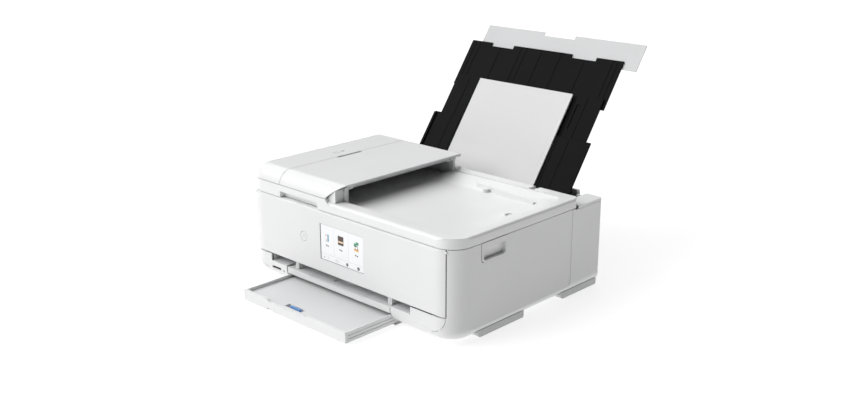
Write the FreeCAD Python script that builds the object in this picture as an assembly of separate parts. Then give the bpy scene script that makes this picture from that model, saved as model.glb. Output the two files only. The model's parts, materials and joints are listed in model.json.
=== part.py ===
import FreeCAD, Part
import math
import os

from FreeCAD import Vector

# Inkjet printer with scanner, document feeder, front cassette and rear tray. Millimetres.
# X runs across the printer to its right, the front faces -Y, Z is up from the table.

# ---- driving dimensions ----
HALF = 234.0            # half the width
FRONT = -183.0          # front face
BACK = 174.0            # rear face of the side covers
BULGE = 183.0           # rear face of the rear cover's raised middle
SKIN = 2.5              # wall thickness of the outer covers
GAP = 0.6               # joint line between covers
PANEL_GAP = 1.4         # joint line under the operation panel
INSET = 0.7             # depth of the flat field in each side cover
CORNER = 37.0           # plan radius of the front corners
BELLY = 20.0            # rounding under the front and side covers
BODY_LOW = 6.0          # lowest edge of the covers
PANEL_LOW = 46.0        # lower edge of the operation panel
LID = 150.0             # underside of the document cover
REAR_TOP = 151.5        # top of the rear strip
RIM = 166.0             # rim of the document cover
SKIRT = 171.0           # parting line between document cover and feeder covers
TOP = 193.0             # top of the document feeder
LID_BACK = 112.5        # rear edge of the document cover
FEEDER_BACK = 104.0     # rear edge of the feeder
FEEDER_ROUND = 25.0     # rounding of the feeder's top front edge
SPLIT = -150.0          # line between feeder cover and document tray
TRAY_END = -12.0        # free edge of the document tray
PANEL_HALF = 214.0      # half the width of the operation panel
PANEL_BACK = -165.0     # rear face of the operation panel
PANEL_PIVOT = (-179.0, 145.4)   # y, z of the operation panel's hinge
SCREEN = (-52.0, 48.0, 69.0, 128.5)     # x and z range of the screen's window
BUTTON_AT = (-92.4, 97.0)       # x, z of the power button
PANEL_ROUND = 4.0       # rounding of the panel's top edge, about the hinge
COVER_PIVOT = (109.5, 158.0)    # y, z of the document cover's hinge
SCANNER_PIVOT = (106.0, 143.0)  # y, z of the scanner unit's hinge
TRAY_PIVOT = (-13.5, 187.5)     # x, z of the document tray's hinge
FLAP_PIVOT = (-232.6, 172.9)    # x, z of the feeder cover's hinge
FLAP_STEMS = (-100.0, 45.0)     # y of the stems that carry the feeder cover
DRIVE_AT = (-186.0, 178.0)      # x, z of the feeder's drive roller
PICK_ROLLER_AT = (-157.2, 180.5)        # x, z of the feeder's pick roller
EXIT_AT = (-166.0, 163.6)       # x, z of the feeder's exit roller
RECESS_Y = (-160.0, 91.0)       # y range of the recess that documents are laid down in
SCAN_LOW = 122.0        # underside of the scanner unit
SCAN_TOP = 149.4        # top of the scanner unit
SCAN_HALF = 227.0       # half the width of the scanner unit
SCAN_PIN = 2.5          # radius of the scanner unit's hinge pins
COVER_PIN = 1.75        # radius of the document cover's hinge pins
POST_X = 150.0          # x of the posts that carry the document cover
RAIL = 2.0              # radius of the rail that the scan carriage runs on
RAIL_AT = (-14.0, 128.5)        # y, z of that rail
CASSETTE = (-134.0, 106.0)      # x range of the cassette
CASSETTE_OUT = 92.0     # how far the cassette's front stands out when it holds long paper
CASSETTE_MIDDLE = sum(CASSETTE) / 2
PINION_Y = -40.0        # y of the pinion between the cassette's paper guides
PINION_TEETH = 14
RACK_Z = (9.2, 11.0)    # heights of the racks and of their pinion
LIP = (-138.0, 104.5)   # x range of the output tray's front lip
RECESS = (-179.0, 147.0)        # x range of the paper outlet
OUTLET_LOW = 33.0       # lower edge of the paper outlet
SCREW_X = 220.0         # x of the screws in the rear cover
SCREW_Z = (22, 138)     # heights of the screws in the rear cover
STRIP_GAP = 3.6         # joint line between the document cover and the strip behind it
TILT = 36.0             # lean of the rear tray from upright, degrees
PAPER_AT = 157.0        # y where the rear tray's paper passes the height of the lid's underside
ROD = 4.0               # radius of the carriage rod
ROD_AT = (40.0, 92.0)   # y, z of the carriage rod
SHAFT = 3.0             # radius of the roller shafts
PICK_AT = (96.6, 88.7)  # y, z of the rear tray's pick roller
FREE = 0.05             # radial clearance of running shafts
ROLLER_Z = 47.0         # height of the feed and eject rollers
FEED_Y = 8.0            # line feed roller
EJECT_Y = -72.0         # eject roller
GEAR_X = -182.0         # middle plane of the feed gears
MODULE = 1.0            # module of the feed gears
FEED_TEETH = 40
IDLER_TEETH = 44
EJECT_TEETH = 32
IDLER_Y = FEED_Y - MODULE * (FEED_TEETH + IDLER_TEETH) / 2
SIDE_PLATE = 206.0      # x of the steel side plates
BELT_AT = (54.0, 100.0)         # y, z of the carriage belt
BELT_ENDS = (-188.0, 196.5)     # x of the belt's idler pulley and its drive pulley
TANK_WIDTHS = (17.0, 12.6, 12.6, 12.6, 12.6)    # the ink tanks, from the left
PULLEY = 6.0            # radius of the belt's line on its pulleys


# ---- helpers ----
def box(x0, x1, y0, y1, z0, z1):
    return Part.makeBox(x1 - x0, y1 - y0, z1 - z0, Vector(x0, y0, z0))


def rod_x(x0, x1, y, z, r):
    return Part.makeCylinder(r, x1 - x0, Vector(x0, y, z), Vector(1, 0, 0))


def rod_y(y0, y1, x, z, r):
    return Part.makeCylinder(r, y1 - y0, Vector(x, y0, z), Vector(0, 1, 0))


def rod_z(z0, z1, x, y, r):
    return Part.makeCylinder(r, z1 - z0, Vector(x, y, z0), Vector(0, 0, 1))


def join(first, *others):
    return first.fuse(list(others)).removeSplitter()


def cut(solid, *tools):
    return solid.cut(list(tools))


def span(a, b):
    """Two values, the lower one first."""
    return min(a, b), max(a, b)


def mirrored(solid):
    return solid.mirror(Vector(0, 0, 0), Vector(1, 0, 0))


def outline(points, radii, place):
    """A closed wire through the points, each corner rounded by its radius, placed by a function."""
    edges = []
    ends = []
    count = len(points)
    for i in range(count):
        here = Vector(*points[i], 0)
        before = Vector(*points[i - 1], 0)
        after = Vector(*points[(i + 1) % count], 0)
        to_before = (before - here).normalize()
        to_after = (after - here).normalize()
        half = to_before.getAngle(to_after) / 2
        reach = radii[i] / math.tan(half)
        middle = here + (to_before + to_after).normalize() * (radii[i] / math.sin(half))
        start = here + to_before * reach
        end = here + to_after * reach
        is_round = radii[i] > 0
        on_arc = middle + (here - middle).normalize() * radii[i] if is_round else here
        ends.append((start, on_arc, end, is_round))
    for i in range(count):
        start, on_arc, end, is_round = ends[i]
        following = ends[(i + 1) % count][0]
        if is_round:
            edges.append(Part.Arc(place(start), place(on_arc), place(end)).toShape())
        if (following - end).Length > 1e-6:
            edges.append(Part.LineSegment(place(end), place(following)).toShape())
    return Part.Wire(edges)


def prism(points, radii, axis, low, high):
    """A rounded outline drawn across an axis, and run along it from low to high."""
    place = {
        "x": lambda p: Vector(low, p.x, p.y),
        "y": lambda p: Vector(p.x, low, p.y),
        "z": lambda p: Vector(p.x, p.y, low),
    }[axis]
    along = {"x": Vector(1, 0, 0), "y": Vector(0, 1, 0), "z": Vector(0, 0, 1)}[axis]
    if not isinstance(radii, (list, tuple)):
        radii = [radii] * len(points)
    return Part.Face(outline(points, radii, place)).extrude(along * (high - low))


def plate(x0, x1, y0, y1, z0, z1, radii):
    """A flat block with rounded upright corners, from front left and anticlockwise seen from above."""
    corners = [(x0, y0), (x1, y0), (x1, y1), (x0, y1)]
    return prism(corners, radii, "z", z0, z1)


def rolled_corner(x, y, radius, low, high, rounds):
    """A round post at x, y with its lower and upper edges rounded."""
    points = [(0, low), (radius, low), (radius, high), (0, high)]
    wire = outline(points, (0, *rounds, 0), lambda at: Vector(at.x, 0, at.y))
    post = Part.Face(wire).revolve(Vector(0, 0, 0), Vector(0, 0, 1), 360)
    post.translate(Vector(x, y, 0))
    return post


def body_hull(inset, high=LID):
    """The covers' outer form, or the space inside them."""
    edge = CORNER - inset
    rear = max(6.0 - inset, 0.5)
    x, y0, y1 = HALF - inset, FRONT + inset, BACK - inset
    upright = plate(-x, x, y0, y1, BODY_LOW + inset, high, (edge, edge, rear, rear))
    low = BODY_LOW + inset
    r = BELLY - inset
    across = prism([(-x, low), (x, low), (x, high), (-x, high)], (r, r, 0, 0), "y", y0, y1)
    along = prism([(y0, low), (y1, low), (y1, high), (y0, high)], (r, 2.0, 0, 0), "x", -x, x)
    hull = upright.common(across).common(along)
    for side in (-1, 1):
        middle = side * (x - edge)
        outer = side * (HALF + 2)
        field = box(min(middle, outer), max(middle, outer), y0 - 1, y0 + edge, low - 1, high + 1)
        post = rolled_corner(middle, y0 + edge, edge, low, high, (r, 0))
        hull = hull.cut(field).fuse(post.common(field))
    return hull.removeSplitter()


def feeder_hull(inset):
    """The document feeder's outer form above the document cover's underside, or the space inside it."""
    x0, x1 = -HALF + inset, TRAY_END
    y0, y1, top = FRONT + inset, FEEDER_BACK - inset, TOP - inset
    plan = plate(x0, x1, y0, y1, LID, TOP, (CORNER - inset, 0, 0, 25.0 - inset))
    side = [(y0, LID), (y1, LID), (y1, top), (y0, top)]
    front = [(x0, LID), (x1, LID), (x1, top), (x0, top)]
    along = prism(side, (0, 0, 3.0, FEEDER_ROUND - inset), "x", x0, x1)
    across = prism(front, (0, 0, 0, FEEDER_ROUND - inset), "y", y0, y1)
    hull = plan.common(along).common(across)
    edge = CORNER - inset
    field = box(x0 - 1, x0 + edge, y0 - 1, y0 + edge, LID - 1, TOP + 1)
    post = rolled_corner(x0 + edge, y0 + edge, edge, LID, top, (0, FEEDER_ROUND - inset))
    return hull.cut(field).fuse(post.common(field)).removeSplitter()


def tilted(solid):
    """Rear tray frame: Z along the slope from the lid's underside, Y through the paper to the rear."""
    out = solid.copy()
    out.rotate(Vector(0, 0, 0), Vector(1, 0, 0), -TILT)
    out.translate(Vector(0, PAPER_AT, LID))
    return out


def gear(teeth, x0, x1, y, z, phase, bore):
    """A spur gear across X with straight-flanked teeth and some backlash."""
    pitch = MODULE * teeth / 2
    root, tip = pitch - 1.15 * MODULE, pitch + 0.8 * MODULE
    at_root, at_tip = 0.30, 0.14
    step = 2 * math.pi / teeth
    points = []
    for i in range(teeth):
        middle = phase + i * step
        for radius, offset in ((root, -at_root), (tip, -at_tip), (tip, at_tip), (root, at_root)):
            angle = middle + offset * step
            points.append(Vector(x0, y + radius * math.cos(angle), z + radius * math.sin(angle)))
    wheel = Part.Face(Part.makePolygon(points + points[:1])).extrude(Vector(x1 - x0, 0, 0))
    return wheel.cut(rod_x(x0, x1, y, z, bore))


parts = {}


# ---- covers ----
def wall():
    return body_hull(0).cut(body_hull(SKIN, LID + 1))


def right_corner(gap):
    """The front lower right panel's field: square at the left, with a large round at the lower right."""
    x0, x1 = LIP[1] + 1.5 - gap, PANEL_HALF + gap
    z0, z1 = BODY_LOW - 2, PANEL_LOW - PANEL_GAP + gap
    seam, knee = 191.0 + gap, 20.0 - gap
    face = [(x0, z0), (seam, z0), (seam, knee), (x1, knee), (x1, z1), (x0, z1)]
    return prism(face, (0, 0, 0, 24.0, 0, 0), "y", FRONT - 1, FRONT + 45)


def grip_field(gap, lean=0.0):
    """The field in the side cover that the scanner unit's grip fills, its front edge leaning by lean."""
    y0, y1, z0 = -124.0 - gap, -66.0 + gap, 119.0 - gap
    side = [(y0 + lean, z0), (y1, z0), (y1, LID + 2), (y0, LID + 2)]
    return prism(side, (7.0, 7.0, 0, 0), "x", HALF - 12, HALF + 1)


def side_cover():
    """The right cover; the left one is its mirror image."""
    field = box(150, HALF + 1, FRONT - 1, BACK + 1, 0, LID - GAP)
    panel = box(0, PANEL_HALF + 1.5, FRONT - 1, -130, PANEL_LOW - GAP, LID + 1)
    centre = box(0, 190, -120, BACK + 1, 0, LID + 1)
    front = box(0, 191 + GAP, FRONT - 1, -115, 0, LID)
    rear_strip = box(0, HALF + 1, 100.5, BACK + 1, REAR_TOP - 4.4, LID + 1)
    rear = box(0, HALF - 8, BACK - 5, BACK + 1, 0, LID)
    under = box(0, HALF - 16, -126.5, BACK + 1, 0, 30)
    shell = wall().common(field)
    shell = cut(shell, panel, centre, front, right_corner(GAP), rear_strip, rear, under)
    shell = cut(shell, grip_field(0.5))
    ring = [(-145, 18.5), (94, 18.5), (94, LID + 9), (-145, LID + 9)]
    shell = shell.cut(prism(ring, 13.0, "x", HALF - INSET, HALF + 1))
    pin = rod_x(PANEL_HALF - 6, PANEL_HALF + 3, *PANEL_PIVOT, 1.5)
    return join(shell, pin)


def front_covers():
    """The lower front panels right and left of the cassette, below the operation panel."""
    outlet = box(*RECESS, FRONT - 1, -140, OUTLET_LOW, PANEL_LOW)
    behind = box(-230, 230, -160, -100, 0, 60)
    parts["front_right_cover"] = cut(wall().common(right_corner(0)), outlet, behind)

    edge = LIP[0] - 1.5
    foot = box(edge - 20, edge, FRONT - 1, FRONT + 45, 4, OUTLET_LOW)
    cassette_side = box(edge, 0, FRONT - 2, 0, 0, 60)
    field = mirrored(right_corner(0)).fuse(foot).cut(cassette_side)
    card_slit = box(-178.5, -155.5, FRONT - 1, FRONT + 6, 19.9, 24.5)
    light_slit = box(-149.5, -146.5, FRONT - 1, FRONT + 6, 20.6, 22.6)
    parts["front_left_cover"] = cut(wall().common(field), outlet, behind, card_slit, light_slit)


def card_reader():
    """The card slot behind the lower left panel, with the light pipe beside it."""
    light = box(-149.3, -146.7, FRONT + 0.9, FRONT + 7, 20.8, 22.4)
    reader = box(-182, -146, FRONT + 4.8, FRONT + 40, 18.1, 26.5)
    card = box(-179, -155, FRONT + 2, FRONT + 32, 19.9, 24.5)
    parts["card_reader"] = join(reader.cut(card), light)


def covers():
    parts["right_side_cover"] = side_cover()
    parts["left_side_cover"] = mirrored(parts["right_side_cover"])
    front_covers()
    card_reader()


def rear_cover():
    """The rear wall with its raised middle, the socket windows, the vents and the screw holes."""
    middle = HALF - 8.6
    top = REAR_TOP - 4.8
    back = box(-middle, middle, BACK - SKIN, BACK, 12, top)
    outside = [(-186, BACK - 1), (186, BACK - 1), (186, BULGE - 0.01), (-186, BULGE - 0.01)]
    swell = prism(outside, (0, 0, 7, 7), "z", 30, top)
    inside = [(-183.5, BACK - 4), (183.5, BACK - 4), (183.5, BULGE - SKIN), (-183.5, BULGE - SKIN)]
    hollow = prism(inside, (0, 0, 5, 5), "z", 32.5, REAR_TOP)
    windows = [box(-214, -196, BACK - 4, BACK + 1, 34, 44)]
    windows.append(box(196, 212, BACK - 4, BACK + 1, 30, 44))
    windows.append(box(196, 209, BACK - 4, BACK + 1, 50, 62))
    windows.append(box(-120.5, 120.5, BULGE - 4, BULGE + 1, 44.5, 125.5))
    for x in range(194, 218, 6):
        windows.append(box(x, x + 3, BACK - 4, BACK + 1, 84, 124))
        windows.append(box(-x - 3, -x, BACK - 4, BACK + 1, 84, 124))
    holes = [rod_y(BACK - 4, BACK + 1, x, z, 2.1) for x in (-SCREW_X, SCREW_X) for z in SCREW_Z]
    parts["rear_cover"] = cut(join(back, swell).cut(hollow), *windows, *holes)


def rear_access_cover():
    """The cover that is taken off to clear paper, with its ribs and two finger tabs."""
    access = box(-120, 120, BULGE - SKIN, BULGE - 0.4, 45, 125)
    ribs = [box(x, x + 2, BULGE - SKIN - 2.5, BULGE - SKIN, 50, 120) for x in range(-110, 111, 22)]
    tabs = [box(x - 12, x + 12, BULGE - 0.4, BULGE, 112, 120) for x in (-90, 90)]
    parts["rear_access_cover"] = join(access, *ribs, *tabs)


def cover_screw(x, z):
    """A cross-head screw that holds the rear cover."""
    head = rod_y(BACK, BACK + 1.8, x, z, 3.4)
    shank = rod_y(BACK - 12, BACK, x, z, 1.6)
    slot = box(x - 2.2, x + 2.2, BACK + 0.9, BACK + 2, z - 0.5, z + 0.5)
    cross = box(x - 0.5, x + 0.5, BACK + 0.9, BACK + 2, z - 2.2, z + 2.2)
    return cut(join(head, shank), slot, cross)


def rear_strip():
    """The strip behind the document cover, with the mouth of the rear tray."""
    low = REAR_TOP - 4
    tail_outline = [(-186, 160), (186, 160), (186, BULGE), (-186, BULGE)]
    tail = prism(tail_outline, (0, 0, 7, 7), "z", low, REAR_TOP)
    strip = join(plate(-HALF, HALF, 99, BACK, low, REAR_TOP, (0, 0, 6, 6)), tail)
    side = HALF + STRIP_GAP
    rounds = (1, 1, 16 + STRIP_GAP, 25 + STRIP_GAP)
    lid = plate(-side, side, FRONT, LID_BACK + STRIP_GAP, LID - 9, TOP, rounds)
    centre = box(-HALF + 20, HALF - 20, 90, LID_BACK + 4, LID - 9, TOP)
    mouth = plate(-184, 202, 140, BULGE - 6, LID - 9, TOP, 4.0)
    lip = box(-HALF + 3.2, HALF - 3.2, 120, 122.5, REAR_TOP - 12, REAR_TOP - 3)
    parts["rear_top_cover"] = join(cut(strip, lid, centre, mouth), lip)


def rear_covers():
    rear_cover()
    rear_access_cover()
    screws = [cover_screw(x, z) for x in (-SCREW_X, SCREW_X) for z in SCREW_Z]
    parts["cover_screws"] = Part.makeCompound(screws)
    rear_strip()


# ---- base ----
def stand(y0, y1):
    """A right-hand stand under the floor, its toe running out below the side cover."""
    block = prism([(y0, 0.8), (y1, 0.8), (y1, 10), (y0, 10)], (7, 3, 0, 0), "x", 199, 217.4)
    toe = prism([(y0, 0.8), (y1, 0.8), (y1, 13), (y0, 13)], (7, 3, 0, 0), "x", 210, 229.5)
    return join(block, toe.cut(body_hull(-0.6)))


def base():
    """The floor with its cassette channel, the stands, the ribs and the rear paper chute."""
    low, high = CASSETTE[0] - 1.5, CASSETTE[1] + 1.5
    left = box(-217.4, low, -144, 168, 9, 11)
    right = box(high, 217.4, -144, 168, 9, 11)
    floor = box(low - 2, high + 2, -176, 168, 0.8, 2.4)
    walls = [box(low - 2, low, -158, 168, 0.8, 21), box(high, high + 2, -158, 168, 0.8, 21)]
    walls.append(box(low - 2, high + 2, 166, 168, 0.8, 21))
    right_stands = [stand(-125, -18), stand(76, 172)]
    left_stands = [mirrored(block) for block in right_stands]
    rib = prism([(90, 10), (163, 10), (163, 130), (92, 36)], 0, "x", 180, 182)
    chute = tilted(box(-182, 182, 13.2, 15.2, -134, -14))
    frame = join(left, right, floor, rib, mirrored(rib), chute, *walls, *right_stands, *left_stands)
    pads = [rod_z(0, 3, x, y, 10) for x in (-216, 216) for y in (-100, 145)]
    pads.append(rod_z(0, 0.8, 0, 0, 9))
    parts["base_frame"] = cut(frame, *pads)
    parts["rubber_feet"] = Part.makeCompound(pads)


def outlet_frame():
    """The white frame round the paper outlet, with the two posts in its mouth."""
    ceiling = box(RECESS[0] + 1, RECESS[1] - 1, -163.5, -92, 49, 51)
    sides = []
    for x in RECESS:
        sides.append(box(x - 1, x + 1, -163.5, -92, 33.4, 51))
        sides.append(box(x - 1, x + 1, -178, -163.5, 33.4, 45.2))
    posts = []
    for x0, x1 in ((-123, -115), (94, 103)):
        arm = box(x0, x1, -177, -159, 41, 45.2)
        leg = box(x0, x1, -177, -171, 32.4, 45.2)
        hanger = box(x0, x1, -163, -159, 41, 50)
        posts.append(join(arm, leg, hanger))
    shelf_left = box(RECESS[0] - 1, LIP[0] - 2, -180, -92, 31, 33.4)
    shelf_right = box(LIP[1] + 2, RECESS[1] + 1, -180, -92, 31, 33.4)
    parts["outlet_frame"] = join(ceiling, *sides, shelf_left, shelf_right, *posts)


# ---- cassette ----
def open_tray(x0, x1, y0, y1, z0, z1, wall_width, floor_top):
    """A tray that is open at its top and its front."""
    inside = box(x0 + wall_width, x1 - wall_width, y0 - 1, y1 - wall_width, floor_top, z1 + 1)
    return box(x0, x1, y0, y1, z0, z1).cut(inside)


def cassette_body():
    """The rear half of the cassette, which nests in the front half, with the pinion's boss and pin."""
    x0, x1 = CASSETTE[0] + 3, CASSETTE[1] - 3
    low = open_tray(x0, x1, -178, 132, 5, 11.7, 2.5, 6.6)
    high = open_tray(x0, x1, 60, 132, 5, 18, 2.5, 6.6)
    boss = rod_z(6.6, 8.9, CASSETTE_MIDDLE, PINION_Y, 3)
    pin = rod_z(8.8, 11.4, CASSETTE_MIDDLE, PINION_Y, 1.5)
    parts["cassette_body"] = join(low, high, boss, pin)


def cassette_front():
    """The front half, with its front wall, finger dip and notch, and the cover over it."""
    x0, x1 = CASSETTE
    front = FRONT - CASSETTE_OUT
    floor = box(x0, x1, front, -95, 3, 4.6)
    sides = [box(x0, x0 + 2.4, front, -95, 3, 19.5), box(x1 - 2.4, x1, front, -95, 3, 19.5)]
    face = plate(x0, x1, front, front + 4.4, 3, 20, (3.0, 3.0, 0, 0))
    dip = prism([(-70, 16.8), (12, 16.8), (20, 21), (-78, 21)], 0, "y", front - 1, front + 6)
    notch = box(-76, -61, front - 1, front + 2, 2, 6)
    lines = []
    for z in (8, 13.5):
        lines.append(box(x1 - 0.7, x1 + 1, front + 5, -94, z, z + 1))
        lines.append(box(x0 - 1, x0 + 0.7, front + 5, -94, z, z + 1))
    parts["cassette_extension"] = cut(join(floor, *sides, face), dip, notch, *lines)

    cover = box(x0 + 2.7, x1 - 2.7, front + 4.7, -98, 12.4, 14.2)
    cup = box(-49, -6, front + 10, front + 24, 8.4, 13)
    pocket = box(-47, -8, front + 12, front + 22, 10, 16)
    parts["cassette_cover"] = join(cover, cup).cut(pocket)
    parts["lock_lever"] = plate(-39, -15, front + 15, front + 19, 10.3, 14.6, 1.5)


def cassette_guides():
    """The width guides with their racks, the pinion between them, and the end guide."""
    x = CASSETTE_MIDDLE
    bore = rod_z(8, 12, x, PINION_Y, 1.5 + FREE)
    parts["guide_pinion"] = toothed_disc(PINION_TEETH, x, PINION_Y, *RACK_Z).cut(bore)
    for name, side in (("cassette_guide_left", -1), ("cassette_guide_right", 1)):
        face = x + side * 105
        fence = box(*span(face, face + side * 2.5), -110, 20, 6.9, 11.4)
        parts[name] = join(fence, rack_bar(side, face))
    upright = box(x - 22, x + 22, 116, 118, 6.9, 17)
    foot = box(x - 22, x + 22, 96, 118, 6.9, 8.4)
    parts["cassette_end_guide"] = join(upright, foot)


def toothed_disc(teeth, x, y, z0, z1):
    """A small upright-axis pinion, a tooth pointing to the front and to the rear."""
    pitch = MODULE * teeth / 2
    root, tip = pitch - 1.1 * MODULE, pitch + 0.8 * MODULE
    at_root, at_tip = 0.28, 0.13
    step = 2 * math.pi / teeth
    points = []
    for i in range(teeth):
        middle = math.pi / 2 + i * step
        for radius, offset in ((root, -at_root), (tip, -at_tip), (tip, at_tip), (root, at_root)):
            angle = middle + offset * step
            points.append(Vector(x + radius * math.cos(angle), y + radius * math.sin(angle), z0))
    return Part.Face(Part.makePolygon(points + points[:1])).extrude(Vector(0, 0, z1 - z0))


def rack_bar(side, face):
    """A rack that runs from a fence past the pinion: the left one behind it, the right one before it."""
    away = -side
    line = PINION_Y + away * MODULE * PINION_TEETH / 2
    low, high = span(CASSETTE_MIDDLE - side * 42, face)
    bar = box(low, high, *span(line + away * 1.1, line + away * 4), *RACK_Z)
    pitch = math.pi * MODULE
    count = int((high - low - 8) / pitch / 2)
    centres = [CASSETTE_MIDDLE + (i + 0.5) * pitch for i in range(-count, count)]
    teeth = [rack_tooth(at, line, away) for at in centres if low + 1 < at < high - 1]
    return join(bar, *teeth)


def rack_tooth(at, line, away):
    root, tip = line + away * 1.2, line - away * 0.8
    corners = [(at - 0.85, root), (at - 0.4, tip), (at + 0.4, tip), (at + 0.85, root)]
    return prism(corners, 0, "z", *RACK_Z)


# ---- output tray ----
def output_tray():
    """The tray with its front lip, and the extension that lies in its top."""
    x0, x1 = -84.0, 50.5
    lip = plate(LIP[0], LIP[1], FRONT, FRONT + 5, 21.5, 31.7, (2.5, 2.5, 0, 0))
    tray = box(LIP[0] + 2, LIP[1] - 2, FRONT + 4, -24, 27.3, 31.7)
    ribs = [box(x, x + 1.6, FRONT + 5, -30, 24.4, 27.3) for x in (-134, -92, -50, 16, 58, 99)]
    bed = box(x0 - 0.3, x1 + 0.3, FRONT - 1, -60, 29.5, 32)
    parts["output_tray"] = join(lip, tray, *ribs).cut(bed)
    slab = box(x0, x1, FRONT, -62, 29.8, 31.7)
    finger = plate(-36, 2, FRONT + 10, FRONT + 24, 30.6, 32, 5.0)
    parts["output_tray_extension"] = slab.cut(finger)


# ---- operation panel ----
def panel_shell():
    """The panel's outer shell, its top edge rounded about the hinge, its lower rear edge chamfered."""
    y_pivot, z_pivot = PANEL_PIVOT
    top = z_pivot + PANEL_ROUND
    field = box(-PANEL_HALF, PANEL_HALF, FRONT - 1, PANEL_BACK, PANEL_LOW, LID)
    side = [(FRONT, PANEL_LOW), (FRONT + 6, PANEL_LOW), (PANEL_BACK, PANEL_LOW + 1.8)]
    side += [(PANEL_BACK, top), (FRONT, top)]
    trim = prism(side, (2.0, 0, 0, 3.0, PANEL_ROUND - 0.01), "x", -PANEL_HALF, PANEL_HALF)
    inner = PANEL_HALF - SKIN
    room = box(-inner, inner, FRONT, PANEL_BACK + 1, PANEL_LOW + SKIN, z_pivot + 1.6)
    x0, x1, z0, z1 = SCREEN
    window = box(x0, x1, FRONT - 1, FRONT + 3.4, z0, z1)
    hole = rod_y(FRONT - 1, FRONT + 6, *BUTTON_AT, 8.2)
    socket = rod_x(PANEL_HALF - 7, PANEL_HALF + 1, y_pivot, z_pivot, 1.5 + FREE)
    shell = body_hull(0, LID).common(field).common(trim)
    return cut(shell, body_hull(SKIN, LID).common(room), window, hole, socket, mirrored(socket))


def operation_panel():
    parts["operation_panel"] = panel_shell()
    x0, x1, z0, z1 = SCREEN
    parts["touch_screen"] = plate(x0 + 0.3, x1 - 0.3, FRONT + 0.3, FRONT + 7, z0 + 0.3, z1 - 0.3, 0.6)

    # the rear wall, and the circuit board with the button's switch on four posts
    side = PANEL_HALF - SKIN - 0.2
    back = box(-side, side, PANEL_BACK - 2.4, PANEL_BACK, PANEL_LOW + SKIN + 0.2, PANEL_PIVOT[1] + 1.2)
    board = box(-110, 60, FRONT + 8.5, FRONT + 10.1, 60, 135)
    switch = box(-95, -90, FRONT + 6.4, FRONT + 8.5, 94.5, 99.5)
    posts = [rod_y(FRONT + 10, PANEL_BACK - 2, x, z, 2.5) for x in (-104, 54) for z in (66, 129)]
    parts["panel_back"] = join(back, board, switch, *posts)
    cap = rod_y(FRONT + 0.1, FRONT + 4.6, *BUTTON_AT, 7.7)
    stem = rod_y(FRONT + 4.6, FRONT + 5.3, *BUTTON_AT, 2)
    parts["power_button"] = join(cap, stem)


# ---- scanner unit ----
def scanner_grip():
    """The ear of the scanner unit in the side cover, with its finger pocket."""
    ear = grip_field(0, 0.8).common(box(HALF - 9, HALF, -130, -60, 100, SCAN_TOP))
    pocket = [(-119.5, 122), (-70.5, 122), (-70.5, 140.5), (-119.5, 140.5)]
    ear = ear.cut(prism(pocket, (5, 5, 3, 3), "x", HALF - 6.4, HALF + 1))
    ledge = box(224, 228, -123, -67, SCAN_LOW + 2, SCAN_TOP)
    return join(ear, ledge)


def scanner_hinge():
    """The right-hand hinge block behind the scanner unit, with its bore."""
    block = box(178, 202, 97, 112, SCAN_LOW + 8, SCAN_TOP)
    barrel = rod_x(178, 202, *SCANNER_PIVOT, 6.4)
    return join(block, barrel)


def scanner():
    x, y0, y1 = SCAN_HALF, -161.0, 101.0
    tub = box(-x, x, y0, y1, SCAN_LOW, SCAN_TOP)
    room = plate(-x + 3, x - 3, y0 + 3, y1 - 3, SCAN_LOW + 2.5, SCAN_TOP - 2.6, 4.0)
    document_window = box(-130, 176, -122, 92, SCAN_TOP - 4, SCAN_TOP + 1)
    feeder_window = box(-170, -148, -122, 92, SCAN_TOP - 4, SCAN_TOP + 1)
    bore = rod_x(170, 210, *SCANNER_PIVOT, SCAN_PIN + FREE)
    posts = [cover_post(-POST_X), cover_post(POST_X)]
    rail = rod_x(-x + 2, x - 2, *RAIL_AT, RAIL)
    grip, hinge = scanner_grip(), scanner_hinge()
    frame = join(tub.cut(room), rail, grip, mirrored(grip), hinge, mirrored(hinge), *posts)
    parts["scanner_frame"] = cut(frame, document_window, feeder_window, bore, mirrored(bore))
    panes = [box(-133, 179, -125, 95, SCAN_TOP - 5.8, SCAN_TOP - 2.6)]
    panes.append(box(-173, -145, -125, 95, SCAN_TOP - 5.8, SCAN_TOP - 2.6))
    parts["scanner_glass"] = Part.makeCompound(panes)

    # the image sensor bar and its foot on the guide rail
    bar = box(-165, -147, -122, 92, SCAN_LOW + 11, SCAN_TOP - 6.6)
    foot = box(-168, -144, -24, -4, SCAN_LOW + 3.2, SCAN_LOW + 11)
    parts["scan_carriage"] = join(bar, foot).cut(rod_x(-170, -140, *RAIL_AT, RAIL + FREE))


def cover_post(x):
    """A hinge post that stands on the scanner unit behind the glass, with a bore for the cover's pin."""
    y, z = COVER_PIVOT
    post = box(x - 5, x + 5, 96, y + 2, SCAN_TOP - 3, z)
    head = rod_x(x - 5, x + 5, y, z, 4.2)
    return join(post, head).cut(rod_x(x - 6, x + 6, y, z, COVER_PIN + FREE))


# ---- document cover and feeder ----
def lid_slab():
    """The flat lid with its rounded rim, and the feeder's base on its left part."""
    rounds = (CORNER, CORNER, 16.0, 25.0)
    slab = plate(-HALF, HALF, FRONT, LID_BACK, LID + 0.3, RIM, rounds)
    rim_side = [(FRONT, LID), (LID_BACK, LID), (LID_BACK, RIM), (FRONT, RIM)]
    slab = slab.common(prism(rim_side, (1.5, 1.5, 3.0, 5.0), "x", -HALF, HALF))
    rim_front = [(-HALF, LID), (HALF, LID), (HALF, RIM), (-HALF, RIM)]
    slab = slab.common(prism(rim_front, (0, 1.5, 4.0, 0), "y", FRONT, LID_BACK))
    base = feeder_hull(0).common(box(-HALF, TRAY_END, FRONT, FEEDER_BACK, LID + 0.3, SKIRT - 0.6))
    sweep = [(-37, 180), (-37, SKIRT - 5), (-25, RIM - 4), (0, RIM - 4), (0, 180)]
    return join(slab, base.cut(prism(sweep, (0, 8, 8, 0, 0), "y", FRONT - 1, FRONT + 40)))


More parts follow.
